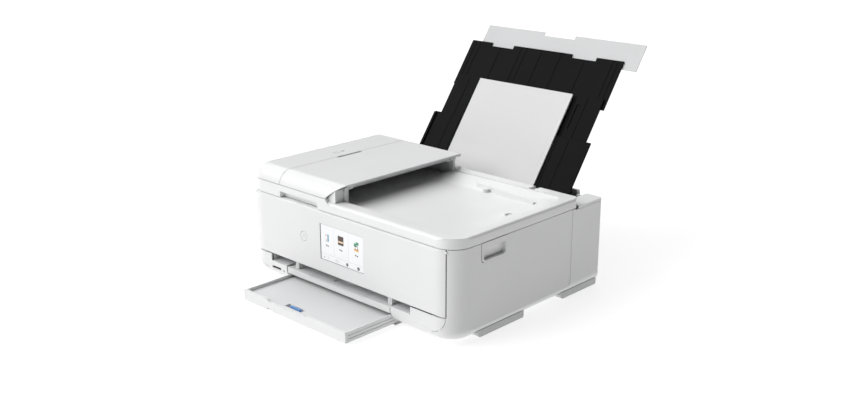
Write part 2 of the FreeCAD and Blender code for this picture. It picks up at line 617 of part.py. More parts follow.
def document_recess():
    """The recess that feeder documents are laid down in, its floor falling to the left."""
    y0, y1 = RECESS_Y
    x0, x1, high = -30, 219, 200
    across = [(x0, 156.7), (118, 157.6), (186, 161.6), (x1, 165.2), (x1, high), (x0, high)]
    along = [(y0, 163.5), (-148, 157), (48, 157), (y1, 164.6), (y1, high), (y0, high)]
    recess = plate(x0, x1, y0, y1, LID, high, (0, 26, 26, 0))
    recess = recess.common(prism(across, (0, 60, 30, 0, 0, 0), "y", y0, y1))
    return recess.common(prism(along, (0, 8, 40, 0, 0, 0), "x", x0, x1))


def lid_hollows():
    """The spaces inside the lid and the feeder, the handle and the hinge posts' slots."""
    hollows = [document_recess()]
    hollows.append(box(-146, -25, *RECESS_Y, 156.6, 200))
    hollows.append(plate(-229, -152, -146, 96, LID + 6, 200, (14, 3, 3, 18)))
    hollows.append(box(-153, -145, -120, 70, 158, 200))
    hollows.append(box(-182, 200, -140, 100, LID - 1, LID + 4))
    hollows.append(box(-172, -150, -118, 88, LID - 1, LID + 8))
    hollows.append(box(-149, -57, FRONT - 1, FRONT + 9, LID - 1, 160))
    for x in (-POST_X, POST_X):
        hollows.append(box(x - 5.6, x + 5.6, 93, LID_BACK + 1, LID - 1, RIM + 2))
    return hollows


def document_stops():
    """The raised marks in the recess: a finger bump, a long ridge and a round nub."""
    bump = rod_z(160, 165.2, 203, -31, 6.5).cut(rod_z(163.4, 166, 207, -31, 5.5))
    ridge = prism([(62, 60), (198, 38), (198, 45), (62, 63)], (1, 3, 3, 1), "z", 155.5, 165.4)
    nub = rod_z(155.5, 163.2, 89, 53, 7)
    return [bump, ridge, nub]


def document_cover():
    end = [(-60, 160), (-60, SKIRT - 0.6), (-37.2, SKIRT - 0.6), (-36.6, 172.9), (-19.8, 185.9), (-19.8, 160)]
    web = prism(end, 0, "y", -177, -160.2)
    pins = [rod_x(x - 11.5, x + 11.5, *COVER_PIVOT, COVER_PIN) for x in (-POST_X, POST_X)]
    lid = cut(lid_slab(), *lid_hollows())
    details = document_stops() + flap_stems() + tray_stands() + bearings()
    parts["document_cover"] = join(lid, web, *pins, *details)
    parts["pressure_pad"] = plate(-134, 180, -126, 96, LID + 0.3, LID + 3.8, 4.0)


def flap_stems():
    """Two short stems in the left wall whose pins carry the feeder cover."""
    x, z = FLAP_PIVOT
    stems = []
    for y in FLAP_STEMS:
        stem = box(x - 1.3, x + 1.3, y, y + 5, SKIRT - 6, z)
        stems.append(join(stem, rod_y(y, y + 5, x, z, 1.3), rod_y(y - 5, y + 10, x, z, 0.9)))
    return stems


def tray_stands():
    """Two arms that rise out of the recess and hold the document tray's pins."""
    x, z = TRAY_PIVOT
    stands = []
    for y0, y1, pin in ((-159.9, -154.6, -147), (86.0, 90.9, 78)):
        arm = box(x - 10, x - 0.6, y0, y1, 156, z)
        arm = arm.cut(box(x - 11, x - 4.5, y0 - 1, y1 + 1, z - 6, z + 1))
        low, high = min(pin, y0), max(pin, y1)
        stands.append(join(arm, rod_y(y0, y1, x, z, 1.9), rod_y(low, high, x, z, 1.3)))
    return stands


def bearings():
    """The two plates in the feeder that carry its rollers."""
    holes = [rod_y(-150, 100, *DRIVE_AT, 2.5 + FREE), rod_y(-150, 100, *EXIT_AT, 2 + FREE)]
    holes.append(rod_y(-150, 100, *PICK_ROLLER_AT, 2 + FREE))
    return [cut(box(-200, -152.5, y, y + 5, 155, 184), *holes) for y in (-136, 85)]


def feeder_cover():
    """The left part of the feeder's shell, with the knuckles it turns on."""
    shell = feeder_hull(0).cut(feeder_hull(2.6))
    flap = shell.common(box(-HALF, SPLIT - 0.4, FRONT, FEEDER_BACK, SKIRT + 0.3, TOP))
    x, z = FLAP_PIVOT
    knuckles = [box(x - 1.3, x + 2.4, y - 6, y + 11, SKIRT + 0.3, z + 3) for y in FLAP_STEMS]
    gaps = [box(x - 3, x + 4, y - 0.5, y + 5.5, SKIRT - 1, z + 2.4) for y in FLAP_STEMS]
    bores = [rod_y(y - 5.6, y + 10.6, x, z, 0.9 + FREE) for y in FLAP_STEMS]
    parts["feeder_cover"] = cut(join(flap, *knuckles), *gaps, *bores)


def document_tray():
    """The right part of the feeder's top, which swings over to the right."""
    tray = feeder_hull(0).cut(feeder_hull(3.4))
    tray = tray.common(box(SPLIT + 0.4, TRAY_END, FRONT, FEEDER_BACK, SKIRT + 0.3, TOP))
    end = [(-37, SKIRT - 1), (-37, 173.5), (TRAY_END - 1, 192)]
    end += [(TRAY_END + 1, 192), (TRAY_END + 1, SKIRT - 1)]
    front_end = prism(end, 0, "y", FRONT - 1, -158)
    rear_skirt = box(SPLIT, TRAY_END + 1, FEEDER_BACK - 3.6, FEEDER_BACK + 1, SKIRT - 1, TOP - 3.4)
    finger = plate(SPLIT - 1, -143, -58, -2, TOP - 1.6, TOP + 1, 2.5)
    x, z = TRAY_PIVOT
    lugs = []
    for y in (-154, 78):
        lug = join(rod_y(y, y + 7, x, z, 2.2), box(x - 2.2, TRAY_END, y, y + 7, z, TOP - 2))
        lugs.append(cut(lug, rod_y(y - 1, y + 8, x, z, 1.3 + FREE)))
    parts["document_tray"] = join(cut(tray, front_end, rear_skirt, finger), *lugs)


def inlet_ramp():
    """The sloping inlet that the documents lie on, above the recess, and its two width guides."""
    slope = prism([(-144, 173.5), (-26, 181.2), (-26, 183.7), (-144, 176)], 0, "y", -159.7, 90.8)
    ends = [box(-144, -26, y, y + 2, 158, 178) for y in (-159.7, 88.8)]
    slot = [(-92, 165), (-84, 165), (-84, 190), (-92, 190)]
    slots = [prism(slot, 0, "y", -143, -40), prism(slot, 0, "y", 0, 83)]
    parts["inlet_ramp"] = cut(join(slope, *ends), *slots)
    for name, y, side in (("document_guide_front", -140, -1), ("document_guide_rear", 80, 1)):
        y0, y1 = span(y, y + side * 2.4)
        fence = prism([(-132, 176.9), (-40, 182.9), (-40, 188.4), (-132, 184.4)], 0, "y", y0, y1)
        stem = box(-90.5, -85.5, y0, y1, 171.5, 184)
        parts[name] = join(fence, stem)


def feeder_roller(at, length, radius, shaft):
    """A rubber roller on its shaft; length is the rubber's y range."""
    return join(rod_y(*length, *at, radius), rod_y(-140, 92, *at, shaft))


def feeder():
    feeder_cover()
    document_tray()
    inlet_ramp()
    parts["feeder_pick_roller"] = feeder_roller(PICK_ROLLER_AT, (-38, 10), 6, 2)
    parts["feeder_drive_roller"] = feeder_roller(DRIVE_AT, (-96, 66), 9, 2.5)
    parts["feeder_exit_roller"] = feeder_roller(EXIT_AT, (-96, 66), 4.5, 2)


# ---- rear tray ----
def grooves(places, width, y0, y1, z0, z1):
    return [box(x, x + width, y0, y1, z0, z1) for x in places]


def lower_support():
    """The lowest support, with its side flanges and its latch."""
    sheet = box(-177, 177, 3.0, 5.4, -50, 94)
    flanges = [box(-177, -172, 0.4, 3.0, -46, 92), box(172, 177, 0.4, 3.0, -46, 92)]
    latch = box(171, 179.5, 0.4, 5.4, 1, 8)
    lines = grooves((-134, -112, 111, 134), 1.2, 2.6, 3.4, -40, 92)
    return cut(join(sheet, latch, *flanges), *lines)


def middle_support():
    slot = box(118, 126, 5.4, 6.9, 112, 158)
    lines = grooves((-134, -112, 111, 134), 1.4, 5.4, 6.3, 60, 172)
    return cut(box(-165, 165, 5.8, 8.0, 58, 176), slot, *lines)


def top_support():
    notches = grooves((-121, 63), 52, 8, 11, 243, 251)
    lines = grooves((-160, -149, -97, -3, 40, 93, 150, 160), 1.4, 8.0, 8.9, 160, 249)
    lines += grooves((-50, -38), 5, 8.0, 8.9, 160, 249)
    return cut(box(-169.5, 170.5, 8.4, 10.6, 157, 250), *notches, *lines)


def support_extension():
    """The clear sheet at the top, with its wider right end."""
    sheet = join(box(-148, 165.8, 11.0, 12.2, 214, 286), box(165, 199, 11.0, 12.2, 236, 286))
    return sheet.cut(box(-16, 52, 10, 13, 279, 287))


def rear_tray():
    """Four telescoping supports, each one behind the one below it, the paper and its guides."""
    parts["rear_support_lower"] = tilted(lower_support())
    parts["rear_support_middle"] = tilted(middle_support())
    parts["rear_support_top"] = tilted(top_support())
    parts["rear_support_extension"] = tilted(support_extension())
    parts["paper_stack"] = tilted(box(-105, 105, 0, 2.6, -124, 173))
    for name, side in (("rear_guide_left", -1), ("rear_guide_right", 1)):
        parts[name] = tilted(box(*span(side * 105.4, side * 108.4), -3.4, 2.6, -62, -6))
    roller = rod_x(-18, 18, *PICK_AT, 12)
    parts["rear_pick_roller"] = join(roller, rod_x(-60, 60, *PICK_AT, SHAFT))


# ---- print engine ----
def pick_arms():
    """The two arms that carry the rear tray's pick roller, and the bar between them."""
    arms = [box(-58, 58, 66, 69, 84, 93.4)]
    for x in (-58, 54):
        arm = box(x, x + 4, 66, 101, 84, 93.4)
        arms.append(arm.cut(rod_x(x - 1, x + 5, *PICK_AT, SHAFT + FREE)))
    return arms


def pinch_bar():
    """The bar of pinch rollers that presses the paper on the line feed roller."""
    rollers = [rod_x(x, x + 18, FEED_Y + 6, ROLLER_Z + 10.6, 3.2) for x in range(-150, 140, 40)]
    holder = box(-156, 156, FEED_Y + 8.5, FEED_Y + 13, ROLLER_Z + 8, ROLLER_Z + 14)
    stays = [box(x, x + 6, FEED_Y + 13, 65, ROLLER_Z + 9, ROLLER_Z + 13) for x in (-140, 134)]
    return [holder, *rollers, *stays]


def steel_frame():
    """The side plates, the rear plate, the carriage rod and everything that is fixed to them."""
    side = [(-84, 11), (66, 11), (66, 116), (20, 116), (-84, 70)]
    right = prism(side, 3.0, "x", SIDE_PLATE, SIDE_PLATE + 1.5)
    back = box(-SIDE_PLATE, SIDE_PLATE, 64.5, 66, 40, 116)
    front_rail = box(-SIDE_PLATE, SIDE_PLATE, -84, -82.5, 66, 70)
    frame = join(right, mirrored(right), back, front_rail)
    bores = [rod_x(-220, 220, y, ROLLER_Z, SHAFT + FREE) for y in (FEED_Y, EJECT_Y)]
    rod = rod_x(-SIDE_PLATE - 6, SIDE_PLATE + 6, *ROD_AT, ROD)
    axle = rod_x(-SIDE_PLATE, GEAR_X + 7, IDLER_Y, ROLLER_Z, 2)
    fixed = hinge_brackets() + pinch_bar() + pick_arms() + belt_drive()
    parts["steel_frame"] = join(cut(frame, *bores), rod, axle, *fixed)


def platen():
    """The ribbed bed under the print head, with its ink trough, on two legs."""
    slab = box(-158, 158, -62, -4, 40, 51)
    ribs = [box(x, x + 2, -62, -4, 51, 52.6) for x in range(-150, 151, 20)]
    legs = [box(-158, -150, -40, -30, 11, 40), box(150, 158, -40, -30, 11, 40)]
    trough = box(-152, 152, -40, -20, 46, 54)
    parts["platen"] = cut(join(slab, *ribs, *legs), trough)


def feed_train():
    """The feed and eject rollers with their gears, and the idler gear between them."""
    x0, x1 = GEAR_X - 3, GEAR_X + 3
    rubber = rod_x(-160, 160, FEED_Y, ROLLER_Z, 7)
    feed_gear = gear(FEED_TEETH, x0, x1, FEED_Y, ROLLER_Z, math.pi / FEED_TEETH, SHAFT)
    shaft = rod_x(-212, 212, FEED_Y, ROLLER_Z, SHAFT)
    parts["line_feed_roller"] = join(rubber, shaft, feed_gear)
    parts["idler_gear"] = gear(IDLER_TEETH, x0, x1, IDLER_Y, ROLLER_Z, 0, 2 + FREE)
    rings = [rod_x(x, x + 12, EJECT_Y, ROLLER_Z, 5.5) for x in range(-152, 141, 36)]
    eject_gear = gear(EJECT_TEETH, x0, x1, EJECT_Y, ROLLER_Z, math.pi / EJECT_TEETH, SHAFT)
    shaft = rod_x(-212, 212, EJECT_Y, ROLLER_Z, SHAFT)
    parts["eject_roller"] = join(shaft, eject_gear, *rings)


def engine():
    steel_frame()
    platen()
    feed_train()


def carriage():
    """The ink carriage on its rod, and its five tanks."""
    y, z = ROD_AT
    x0, x1 = 104.0, 182.0
    bin_walls = box(x0, x1, -46, 30, 62, 100).cut(box(x0 + 2, x1 - 2, -44, 28, 66, 102))
    sleeve = box(x0, x1, 30, y + 8, z - 8, z + 8)
    nozzle = box(x0 + 36, x1 - 2, -34, -8, 56, 62)
    bore = rod_x(x0 - 1, x1 + 1, y, z, ROD + FREE)
    parts["ink_carriage"] = cut(join(bin_walls, sleeve, nozzle), bore)
    tanks = []
    side = [(-43, 66.4), (27, 66.4), (27, 108), (-43, 108)]
    x = x0 + 2.6
    for width in TANK_WIDTHS:
        tanks.append(prism(side, (1.5, 1.5, 4, 4), "x", x, x + width))
        x += width + 0.9
    parts["ink_tanks"] = Part.makeCompound(tanks)


def belt_loop(radius, z0, z1):
    """The space inside a loop that lies round both pulleys at a radius."""
    x0, x1 = BELT_ENDS[0] - radius, BELT_ENDS[1] + radius
    y0, y1 = BELT_AT[0] - radius, BELT_AT[0] + radius
    return prism([(x0, y0), (x1, y0), (x1, y1), (x0, y1)], radius - 0.01, "z", z0, z1)


def belt():
    """The carriage belt and its two pulleys."""
    y, z = BELT_AT
    parts["drive_belt"] = belt_loop(PULLEY + 1, z, z + 5).cut(belt_loop(PULLEY - 0.2, z - 1, z + 6))
    for name, x in zip(("idler_pulley", "drive_pulley"), BELT_ENDS):
        wheel = rod_z(z - 0.5, z + 5.5, x, y, PULLEY - 0.5)
        holes = [rod_z(z - 2, z + 7, x, y, 1.5 + FREE)]
        for angle in (0, 2.1, 4.2):
            across, along = x + 3.4 * math.cos(angle), y + 3.4 * math.sin(angle)
            holes.append(rod_z(z - 1, z + 6, across, along, 0.9))
        parts[name] = cut(wheel, *holes)


def belt_drive():
    """The carriage motor and the idler pulley's post, with the pins that the pulleys turn on."""
    y, z = BELT_AT
    left, right = BELT_ENDS
    motor = rod_z(72, 98, right, y, 8.0)
    flange = box(189, SIDE_PLATE, 58, 65, 74, 96)
    post = box(left - 7, left + 7, y - 5, 65, 94, 98)
    pins = [rod_z(98, z + 7, x, y, 1.5) for x in BELT_ENDS]
    return [motor, flange, post, *pins]


def power_supply():
    """The closed supply with the mains inlet and its two pins at the rear."""
    supply = box(-216, -186, 78, 160, 11, 66)
    inlet = box(-213.6, -196.4, 160, BACK - 0.6, 34.4, 43.6)
    socket = box(-212, -198, 165, BACK + 1, 36.2, 41.8)
    pins = [rod_y(164, 173, x, 39, 1.1) for x in (-209, -201)]
    parts["power_supply"] = join(supply, inlet.cut(socket), *pins)


def main_board():
    """The board on the right, with its chips and the data sockets at the rear."""
    board = box(214, 215.6, -20, 160, 12, 112)
    chips = [box(210.4, 214, 20, 48, 60, 88), box(211.4, 214, 70, 90, 40, 54)]
    chips.append(box(209.5, 214, -10, 4, 30, 100))
    usb = box(197, 208, 160, BACK - 0.8, 51, 61).cut(box(199, 206, 165, BACK, 53, 59))
    network = box(197, 211, 158, BACK - 0.8, 31, 43).cut(box(199, 209, 163, BACK, 33, 41))
    shelf = box(197, 214, 156, 160, 31, 61)
    parts["main_board"] = join(board, usb, network, shelf, *chips)


def purge_unit():
    """The tub beside the platen, with the two caps that close the print head."""
    tub = box(162, 203, -50, -6, 12, 44).cut(box(166, 199, -46, -10, 36, 46))
    caps = []
    for x in (168, 184):
        hollow = plate(x + 1.5, x + 8.5, -40.5, -15.5, 43, 47, 1.5)
        caps.append(plate(x, x + 10, -42, -14, 36, 46, 2.0).cut(hollow))
    parts["purge_unit"] = join(tub, *caps)


def hinge_brackets():
    """Ears on the steel frame and the two pins between them that carry the scanner unit."""
    y, z = SCANNER_PIVOT
    pieces = []
    for side in (-1, 1):
        for x in (174.0, 205.0):
            ear = join(box(x - 1.5, x + 1.5, 65, y + 5, 108, z), rod_x(x - 1.5, x + 1.5, y, z, 5))
            ear = ear.cut(box(x - 3, x + 3, 60, 101.6, SCAN_LOW - 1, 160))
            pieces.append(ear if side > 0 else mirrored(ear))
        pieces.append(rod_x(side * 189.5 - 17, side * 189.5 + 17, y, z, SCAN_PIN))
    return pieces


covers()
rear_covers()
base()
outlet_frame()
cassette_body()
cassette_front()
cassette_guides()
output_tray()
operation_panel()
scanner()
document_cover()
feeder()
engine()
rear_tray()
carriage()
belt()
power_supply()
main_board()
purge_unit()

os.makedirs("parts", exist_ok=True)
for name, solid in parts.items():
    solid.exportStep("parts/" + name + ".step")
    print(name, len(solid.Solids), round(solid.Volume / 1000, 1), solid.isValid())
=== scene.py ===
import json
import math
import random

import bpy
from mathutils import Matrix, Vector


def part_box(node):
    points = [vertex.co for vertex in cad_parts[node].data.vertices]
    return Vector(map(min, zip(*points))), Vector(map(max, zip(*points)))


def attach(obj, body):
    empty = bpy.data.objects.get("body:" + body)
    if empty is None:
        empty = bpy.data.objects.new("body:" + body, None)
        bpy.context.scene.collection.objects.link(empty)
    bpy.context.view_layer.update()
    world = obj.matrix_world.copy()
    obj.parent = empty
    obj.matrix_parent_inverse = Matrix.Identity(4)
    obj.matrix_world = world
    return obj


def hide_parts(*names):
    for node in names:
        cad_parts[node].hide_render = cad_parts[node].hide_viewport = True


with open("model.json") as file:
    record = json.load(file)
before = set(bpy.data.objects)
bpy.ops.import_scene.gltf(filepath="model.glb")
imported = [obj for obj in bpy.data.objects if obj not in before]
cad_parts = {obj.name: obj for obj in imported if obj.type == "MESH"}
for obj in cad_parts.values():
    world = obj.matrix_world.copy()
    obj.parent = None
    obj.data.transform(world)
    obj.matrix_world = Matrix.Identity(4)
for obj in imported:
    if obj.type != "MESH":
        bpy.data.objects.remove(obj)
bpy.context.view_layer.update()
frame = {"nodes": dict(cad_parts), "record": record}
NODES = frame["nodes"]
MM = 0.001
random.seed(7)


# ---- how a material is made ----
CLOUD_SCALE = 9.0
SMEAR_SCALE = 70.0
GLOSS_SPREAD = 0.012
BUMP_DISTANCE = 0.0004
BEVEL_SAMPLES = 4
COAT_ROUGHNESS = 0.12


def new_material(name):
    material = bpy.data.materials.new(name)
    material.use_nodes = True
    tree = material.node_tree
    tree.nodes.clear()
    out = tree.nodes.new("ShaderNodeOutputMaterial")
    shader = tree.nodes.new("ShaderNodeBsdfPrincipled")
    tree.links.new(shader.outputs["BSDF"], out.inputs["Surface"])
    return material, tree, shader


def noise(tree, vector, scale, detail, rough):
    node = tree.nodes.new("ShaderNodeTexNoise")
    node.inputs["Scale"].default_value = scale
    node.inputs["Detail"].default_value = detail
    node.inputs["Roughness"].default_value = rough
    tree.links.new(vector, node.inputs["Vector"])
    return node.outputs["Fac"]


def spread(tree, fac, low, high):
    """The middle of a noise's range, stretched to run from low to high."""
    node = tree.nodes.new("ShaderNodeMapRange")
    node.inputs["From Min"].default_value = 0.3
    node.inputs["From Max"].default_value = 0.7
    node.inputs["To Min"].default_value = low
    node.inputs["To Max"].default_value = high
    tree.links.new(fac, node.inputs["Value"])
    return node.outputs["Result"]


def two_tone(tree, fac, first, second):
    node = tree.nodes.new("ShaderNodeValToRGB")
    node.color_ramp.elements[0].position = 0.35
    node.color_ramp.elements[1].position = 0.65
    node.color_ramp.elements[0].color = (*first, 1)
    node.color_ramp.elements[1].color = (*second, 1)
    tree.links.new(fac, node.inputs["Fac"])
    return node.outputs["Color"]


def shade(color, factor):
    return tuple(min(1.0, c * factor) for c in color)


def relief(tree, height, depth, edge):
    """A bumped normal; edge is the radius, in mm, that sharp edges are softened to."""
    bump = tree.nodes.new("ShaderNodeBump")
    bump.inputs["Strength"].default_value = depth
    bump.inputs["Distance"].default_value = BUMP_DISTANCE
    tree.links.new(height, bump.inputs["Height"])
    if edge > 0:
        bevel = tree.nodes.new("ShaderNodeBevel")
        bevel.samples = BEVEL_SAMPLES
        bevel.inputs["Radius"].default_value = edge * MM
        tree.links.new(bevel.outputs["Normal"], bump.inputs["Normal"])
    return bump.outputs["Normal"]


def surface(name, color, rough, grain=1500, depth=0.06, mottle=0.015, metal=0.0, edge=0.7,
            stretch=(1, 1, 1), transmission=0.0, ior=1.46, specular=0.5, coat=0.0):
    """Plastic, metal, rubber or paper: cloudy colour, uneven gloss, a fine grain and softened edges."""
    material, tree, shader = new_material(name)
    coords = tree.nodes.new("ShaderNodeTexCoord").outputs["Object"]
    mapping = tree.nodes.new("ShaderNodeMapping")
    mapping.inputs["Scale"].default_value = stretch
    tree.links.new(coords, mapping.inputs["Vector"])
    stretched = mapping.outputs["Vector"]
    cloud = noise(tree, coords, CLOUD_SCALE, 3.0, 0.5)
    tone = two_tone(tree, cloud, shade(color, 1 - mottle), shade(color, 1 + mottle))
    tree.links.new(tone, shader.inputs["Base Color"])
    smear = noise(tree, stretched, SMEAR_SCALE, 3.0, 0.6)
    gloss = spread(tree, smear, rough - GLOSS_SPREAD, rough + GLOSS_SPREAD)
    tree.links.new(gloss, shader.inputs["Roughness"])
    fine = noise(tree, stretched, grain, 2.0, 0.6)
    tree.links.new(relief(tree, fine, depth, edge), shader.inputs["Normal"])
    shader.inputs["Metallic"].default_value = metal
    shader.inputs["IOR"].default_value = ior
    shader.inputs["Transmission Weight"].default_value = transmission
    shader.inputs["Specular IOR Level"].default_value = specular
    shader.inputs["Coat Weight"].default_value = coat
    shader.inputs["Coat Roughness"].default_value = COAT_ROUGHNESS
    return material


# ---- the materials, one for each of the record's slots ----
WHITE = (0.77, 0.772, 0.775)
# painted light: the lid on top is a lighter copy of the shell white, so it reads as more brightly lit
LID_WHITE_PAINTED_LIGHTER = (0.80, 0.803, 0.806)
LIGHT_GREY = (0.69, 0.695, 0.70)
MATERIALS = {
    "white_shell": surface("white_shell", WHITE, 0.30, depth=0.03, mottle=0.008, edge=0.9),
    "white_lid": surface("white_lid", LID_WHITE_PAINTED_LIGHTER, 0.30, depth=0.03, mottle=0.008, edge=0.9),
    "light_grey_plastic": surface("light_grey_plastic", LIGHT_GREY, 0.5, depth=0.1),
    "panel_white": surface("panel_white", WHITE, 0.30, depth=0.02),
    "screen_glass": surface("screen_glass", (0.78, 0.79, 0.80), 0.12, depth=0.0, edge=0.2, coat=0.5),
    "scanner_glass": surface("scanner_glass", (0.86, 0.93, 0.92), 0.05, depth=0.0, edge=0.2,
                             transmission=0.9, ior=1.5),
    "dark_plastic": surface("dark_plastic", (0.035, 0.036, 0.038), 0.5, grain=900, depth=0.15),
    "black_tray": surface("black_tray", (0.003, 0.003, 0.0034), 0.45, grain=1100, depth=0.2,
                          mottle=0.12, specular=0.05),
    "clear_tray": surface("clear_tray", (0.62, 0.625, 0.63), 0.32, grain=900, depth=0.05, edge=0.3,
                          transmission=0.25),
    "blue_lever": surface("blue_lever", (0.10, 0.28, 0.62), 0.4),
    "rubber": surface("rubber", (0.03, 0.03, 0.03), 0.8, grain=700, depth=0.3, mottle=0.15),
    "roller_rubber": surface("roller_rubber", (0.06, 0.06, 0.065), 0.75, grain=600, depth=0.4,
                             mottle=0.1, stretch=(0.1, 1, 1)),
    "steel": surface("steel", (0.60, 0.61, 0.62), 0.34, grain=500, depth=0.06, mottle=0.05,
                     metal=1.0, edge=0.3, stretch=(0.05, 1, 1)),
    "gear_plastic": surface("gear_plastic", (0.86, 0.85, 0.78), 0.45, edge=0.2),
    "circuit_board": surface("circuit_board", (0.02, 0.13, 0.06), 0.35, grain=300, depth=0.1,
                             mottle=0.3, edge=0.2),
    "paper": surface("paper", (0.68, 0.68, 0.68), 0.85, grain=2500, depth=0.12, mottle=0.01, edge=0.0),
    "foam": surface("foam", (0.88, 0.88, 0.87), 0.95, grain=900, depth=0.5, edge=0.6),
}

# ---- printed marks, and the colours of the screen's picture ----
GREY_MARK = surface("grey_mark", (0.33, 0.34, 0.35), 0.5, edge=0.0)
SCREEN_COLORS = {
    "screen_white": (0.90, 0.91, 0.92),
    "screen_line": (0.55, 0.57, 0.60),
    "screen_dark": (0.035, 0.037, 0.045),
    "screen_pink": (0.80, 0.42, 0.45),
    "screen_blue": (0.18, 0.52, 0.72),
    "screen_brown": (0.09, 0.06, 0.055),
    "screen_orange": (0.85, 0.52, 0.22),
    "screen_green": (0.10, 0.33, 0.20),
}
SCREEN = {name: surface(name, color, 0.25, depth=0.0, edge=0.0) for name, color in SCREEN_COLORS.items()}


# ---- the CAD nodes get their materials ----
def dress_nodes():
    for entry in frame["record"]["subparts"]:
        node = NODES[entry["node"]]
        material = MATERIALS[entry["material_slot"]]
        for slot_used in node.material_slots:
            slot_used.material = material
        if not node.material_slots:
            node.data.materials.append(material)


dress_nodes()


# ---- mesh helpers; the pieces are drawn in mm ----
def piece(name, verts, faces, material, body, slot_name=None):
    mesh = bpy.data.meshes.new(name)
    mesh.from_pydata([tuple(c * MM for c in v) for v in verts], [], faces)
    mesh.update()
    mesh.materials.append(material)
    made = bpy.data.objects.new(name, mesh)
    bpy.context.scene.collection.objects.link(made)
    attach(made, body)
    return made


def prism(points, low, high, place):
    """A closed prism over a 2-D outline; place turns (u, v, height) into x, y, z."""
    count = len(points)
    verts = [place(u, v, low) for u, v in points] + [place(u, v, high) for u, v in points]
    faces = [tuple(range(count - 1, -1, -1)), tuple(range(count, 2 * count))]
    faces += [(i, (i + 1) % count, count + (i + 1) % count, count + i) for i in range(count)]
    return verts, faces


def merged(parts):
    verts, faces = [], []
    for more_verts, more_faces in parts:
        start = len(verts)
        verts += more_verts
        faces += [tuple(i + start for i in face) for face in more_faces]
    return verts, faces


def rounded(u0, u1, v0, v1, radius, steps=5):
    """The outline of a rectangle with rounded corners."""
    points = []
    corners = ((u1 - radius, v1 - radius, 0), (u0 + radius, v1 - radius, 90),
               (u0 + radius, v0 + radius, 180), (u1 - radius, v0 + radius, 270))
    for cu, cv, start in corners:
        for i in range(steps + 1):
            angle = math.radians(start + 90 * i / steps)
            points.append((cu + radius * math.cos(angle), cv + radius * math.sin(angle)))
    return points


def arc_band(cu, cv, inner, outer, start, end, steps=40):
    """The outline of part of a ring, from one angle to another, in degrees."""
    around = [math.radians(start + (end - start) * i / steps) for i in range(steps + 1)]
    points = [(cu + outer * math.cos(a), cv + outer * math.sin(a)) for a in around]
    return points + [(cu + inner * math.cos(a), cv + inner * math.sin(a)) for a in reversed(around)]


def frame_lines(u0, u1, v0, v1, width):
    """The outlines of the four bars of a rectangular frame."""
    lower = rounded(u0, u1, v0, v0 + width, 0.1)
    upper = rounded(u0, u1, v1 - width, v1, 0.1)
    left = rounded(u0, u0 + width, v0 + width, v1 - width, 0.1)
    right = rounded(u1 - width, u1, v0 + width, v1 - width, 0.1)
    return [lower, upper, left, right]


def upright(u, v, height):
    return u, v, height


# ---- the touch screen's picture: thin layers of x, z outlines in front of the screen ----
SCREEN_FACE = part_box("touch_screen")[0].y / MM
LAYER_STEP = 0.03
LAYER_THICKNESS = 0.028
COLUMN_LINES = (-19.4, 13.6)
COLUMN_LINE_WIDTH = 0.35
ICON_MIDDLES = (-35.4, -3.7, 32.2)
SMALL_ICON_HEIGHT = 74.4


def on_screen(layer):
    face = SCREEN_FACE - LAYER_STEP * layer
    return lambda u, v, h: (u, face - h, v)


def screen_piece(name, outlines, layer, color):
    parts = [prism(points, 0.0, LAYER_THICKNESS, on_screen(layer)) for points in outlines]
    piece(name, *merged(parts), SCREEN[color], "panel", "screen_glass")


def screen_background():
    """The white page, the thin lines that divide it, and its dark left and lower edges."""
    page = rounded(-50.6, 47.2, 70.1, 127.8, 0.4)
    screen_piece("screen_page", [page], 0, "screen_white")
    lines = [rounded(x, x + COLUMN_LINE_WIDTH, 80.5, 126.0, 0.1) for x in COLUMN_LINES]
    lines.append(rounded(-48.5, 45.5, 79.8, 80.1, 0.1))
    screen_piece("screen_lines", lines, 1, "screen_line")
    left_edge = rounded(-51.6, -50.3, 69.6, 128.0, 0.2)
    lower_edge = rounded(-51.6, 47.5, 69.4, 69.9, 0.2)
    screen_piece("screen_edge", [left_edge, lower_edge], 1, "screen_dark")


def screen_phone():
    """The left icon: a blue phone with two pink marks beside it."""
    upper_mark = rounded(-38.8, -36.8, 109.5, 113.5, 0.5)
    lower_mark = rounded(-38.2, -36.4, 103.5, 105.5, 0.4)
    screen_piece("screen_copy_icon", [upper_mark, lower_mark], 1, "screen_pink")
    phone = rounded(-34.6, -31.6, 101.5, 114.0, 0.8)
    screen_piece("screen_phone_icon", [phone], 1, "screen_blue")
    phone_face = rounded(-33.9, -32.9, 102.5, 113.0, 0.3)
    underline = rounded(-38.6, -35.2, 101.6, 102.5, 0.3)
    screen_piece("screen_phone_frame", [phone_face, underline], 2, "screen_dark")


def screen_printer():
    """The middle icon: a dark printer with an orange sheet."""
    printer = rounded(-10.2, 2.8, 102.6, 117.6, 1.2)
    screen_piece("screen_printer_icon", [printer], 1, "screen_brown")
    sheet = rounded(-9.6, 2.2, 106.6, 109.2, 0.5)
    screen_piece("screen_printer_sheet", [sheet], 2, "screen_orange")
    sheet_slot = rounded(-8.4, 1.0, 107.4, 108.5, 0.4)
    screen_piece("screen_printer_slot", [sheet_slot], 3, "screen_white")


def screen_photo():
    """The right icon: green and orange blocks round a small picture frame."""
    left_block = rounded(26.6, 32.4, 108.6, 114.4, 0.6)
    right_block = rounded(31.0, 37.0, 112.0, 117.0, 0.8)
    screen_piece("screen_photo_icon", [left_block, right_block], 1, "screen_green")
    base = rounded(26.8, 37.6, 101.6, 106.4, 0.8)
    screen_piece("screen_photo_base", [base], 1, "screen_orange")
    picture_frame = rounded(29.4, 35.4, 104.4, 110.4, 0.6)
    screen_piece("screen_photo_frame", [picture_frame], 2, "screen_dark")
    picture = rounded(30.4, 34.4, 105.4, 109.4, 0.3)
    screen_piece("screen_photo_fill", [picture], 3, "screen_white")


